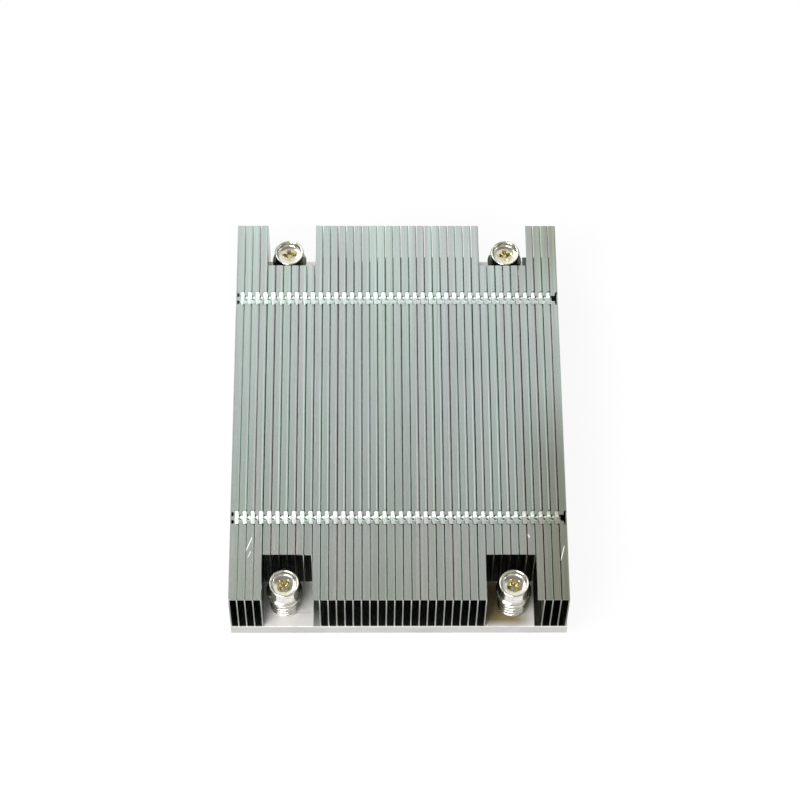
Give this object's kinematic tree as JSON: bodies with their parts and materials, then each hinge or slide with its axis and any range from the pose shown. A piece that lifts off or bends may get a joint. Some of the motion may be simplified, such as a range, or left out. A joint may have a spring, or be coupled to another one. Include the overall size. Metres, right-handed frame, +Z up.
{
  "type": "server processor heatsink",
  "caption": "Flat passive heatsink: a stack of folded, interlocked sheet fins on a base plate, with notched corners for sprung captive screws.",
  "frame": {"origin": "centre of the contact face, the base plate's underside, midway between the four screws", "axes": "X across the fins, +Y along the fins to the back, +Z up from the base plate to the fins' folded tops"},
  "size_m": [0.0829, 0.106, 0.0249],
  "materials": {
    "fin_metal": "bare rolled sheet, satin, with fine lengthwise grain",
    "base_metal": "bare milled plate, pale and satin",
    "screw_metal": "bright nickel-plated steel",
    "spring_metal": "bright plated spring wire",
    "ring_metal": "plated pressed steel"
  },
  "bodies": {
    "heatsink": {"base_plate": "base_metal", "end_fin": "fin_metal", "fin_01": "fin_metal", "fin_02": "fin_metal", "fin_03": "fin_metal", "fin_04": "fin_metal", "fin_05": "fin_metal", "fin_06": "fin_metal", "fin_07": "fin_metal", "fin_08": "fin_metal", "fin_09": "fin_metal", "fin_10": "fin_metal", "fin_11": "fin_metal", "fin_12": "fin_metal", "fin_13": "fin_metal", "fin_14": "fin_metal", "fin_15": "fin_metal", "fin_16": "fin_metal", "fin_17": "fin_metal", "fin_18": "fin_metal", "fin_19": "fin_metal", "fin_20": "fin_metal", "fin_21": "fin_metal", "fin_22": "fin_metal", "fin_23": "fin_metal", "fin_24": "fin_metal", "fin_25": "fin_metal", "fin_26": "fin_metal", "fin_27": "fin_metal", "fin_28": "fin_metal", "fin_29": "fin_metal", "fin_30": "fin_metal", "fin_31": "fin_metal", "fin_32": "fin_metal", "fin_33": "fin_metal", "fin_34": "fin_metal", "fin_35": "fin_metal", "fin_36": "fin_metal", "fin_37": "fin_metal", "fin_38": "fin_metal", "fin_39": "fin_metal", "fin_40": "fin_metal", "fin_41": "fin_metal", "spring_front_left": "spring_metal", "spring_front_right": "spring_metal", "spring_back_left": "spring_metal", "spring_back_right": "spring_metal"},
    "ring_front_left": {"ring_front_left": "ring_metal"},
    "screw_front_left": {"screw_front_left": "screw_metal"},
    "ring_front_right": {"ring_front_right": "ring_metal"},
    "screw_front_right": {"screw_front_right": "screw_metal"},
    "ring_back_left": {"ring_back_left": "ring_metal"},
    "screw_back_left": {"screw_back_left": "screw_metal"},
    "ring_back_right": {"ring_back_right": "ring_metal"},
    "screw_back_right": {"screw_back_right": "screw_metal"}
  },
  "joints": [
    {"name": "screw_travel_front_left", "type": "slide", "parent": "heatsink", "child": "ring_front_left", "axis": [0, 0, -1], "range_m": [0, 0.0025], "stiffness_N_per_m": 10000, "deforming": ["spring_front_left"]},
    {"name": "screw_turn_front_left", "type": "hinge", "parent": "ring_front_left", "child": "screw_front_left", "pos_m": [-0.028, -0.047, 0], "axis": [0, 0, -1], "continuous": true},
    {"name": "screw_travel_front_right", "type": "slide", "parent": "heatsink", "child": "ring_front_right", "axis": [0, 0, -1], "range_m": [0, 0.0025], "stiffness_N_per_m": 10000, "deforming": ["spring_front_right"]},
    {"name": "screw_turn_front_right", "type": "hinge", "parent": "ring_front_right", "child": "screw_front_right", "pos_m": [0.028, -0.047, 0], "axis": [0, 0, -1], "continuous": true},
    {"name": "screw_travel_back_left", "type": "slide", "parent": "heatsink", "child": "ring_back_left", "axis": [0, 0, -1], "range_m": [0, 0.0025], "stiffness_N_per_m": 10000, "deforming": ["spring_back_left"]},
    {"name": "screw_turn_back_left", "type": "hinge", "parent": "ring_back_left", "child": "screw_back_left", "pos_m": [-0.028, 0.047, 0], "axis": [0, 0, -1], "continuous": true},
    {"name": "screw_travel_back_right", "type": "slide", "parent": "heatsink", "child": "ring_back_right", "axis": [0, 0, -1], "range_m": [0, 0.0025], "stiffness_N_per_m": 10000, "deforming": ["spring_back_right"]},
    {"name": "screw_turn_back_right", "type": "hinge", "parent": "ring_back_right", "child": "screw_back_right", "pos_m": [0.028, 0.047, 0], "axis": [0, 0, -1], "continuous": true}
  ]
}
